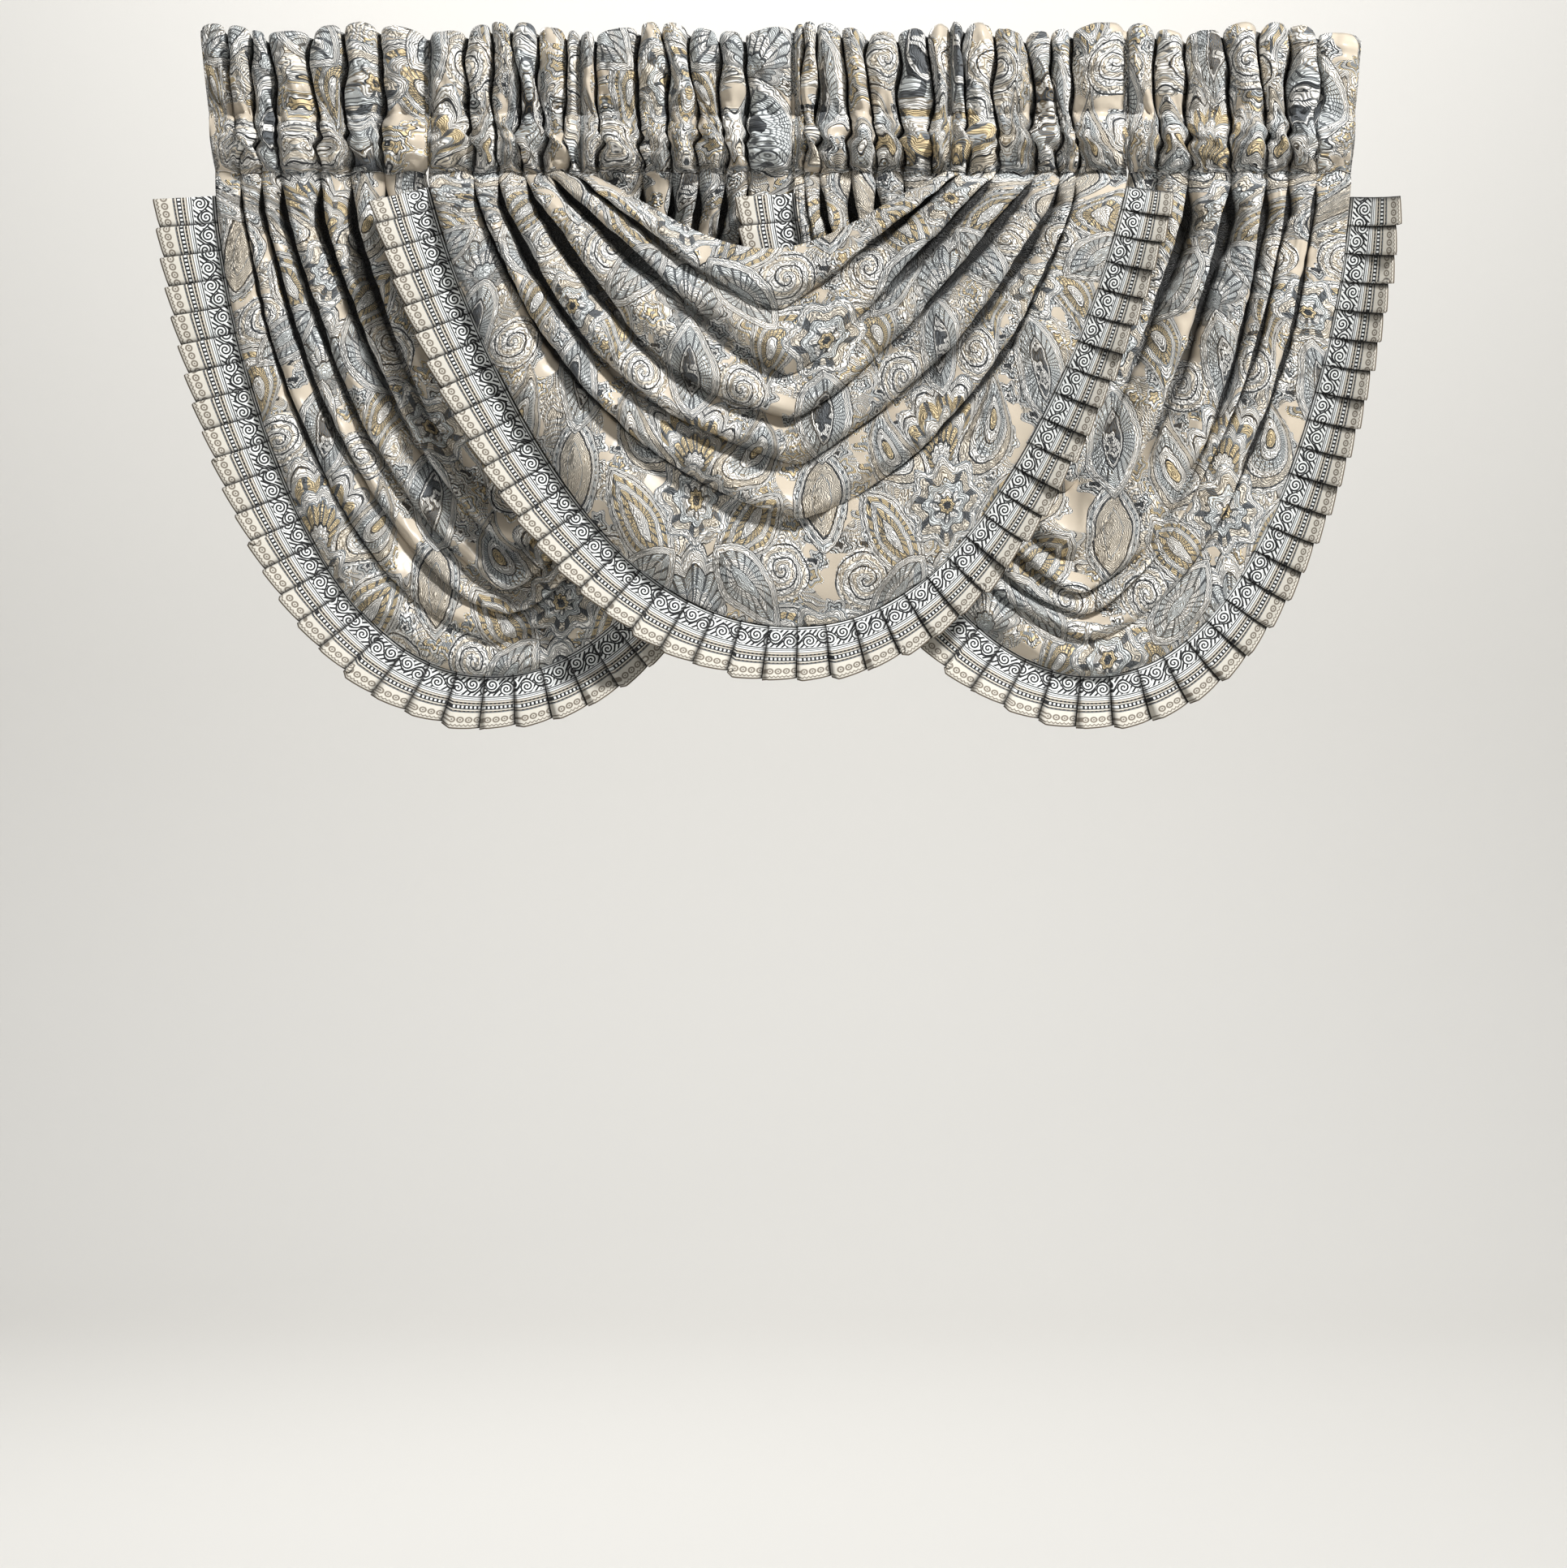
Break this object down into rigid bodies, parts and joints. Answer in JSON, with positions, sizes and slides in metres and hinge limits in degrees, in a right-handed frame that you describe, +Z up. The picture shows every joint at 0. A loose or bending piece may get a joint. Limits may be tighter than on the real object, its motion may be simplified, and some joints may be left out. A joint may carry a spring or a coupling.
{
  "type": "waterfall valance",
  "caption": "Window valance of overlapping draped swags with gathered rod-pocket headings and a knife-pleated border, hung from a hidden rod.",
  "frame": {"origin": "on the middle plane of the hidden rod, at the middle of the heading's width, level with the top edge of the ruffle", "axes": "+X along the rod to the viewer's right, +Z up, -Y out of the front of the valance"},
  "size_m": [1.193, 0.1125, 0.6774],
  "materials": {
    "jacquard_cloth": "raised jacquard weave with a satin ground, beige, cream, pale blue-grey and charcoal",
    "gathered_heading": "the same jacquard weave, gathered on the rod",
    "woven_border": "flat woven border in grey, charcoal and beige, knife pleated"
  },
  "bodies": {
    "root": {"swag_left": "jacquard_cloth", "swag_centre": "jacquard_cloth", "swag_right": "jacquard_cloth", "trim_left": "woven_border", "trim_centre": "woven_border", "trim_right": "woven_border", "heading_left_outer": "gathered_heading", "heading_left_inner": "gathered_heading", "heading_centre_left": "gathered_heading", "heading_centre_right": "gathered_heading", "heading_right_inner": "gathered_heading", "heading_right_outer": "gathered_heading"}
  },
  "joints": []
}
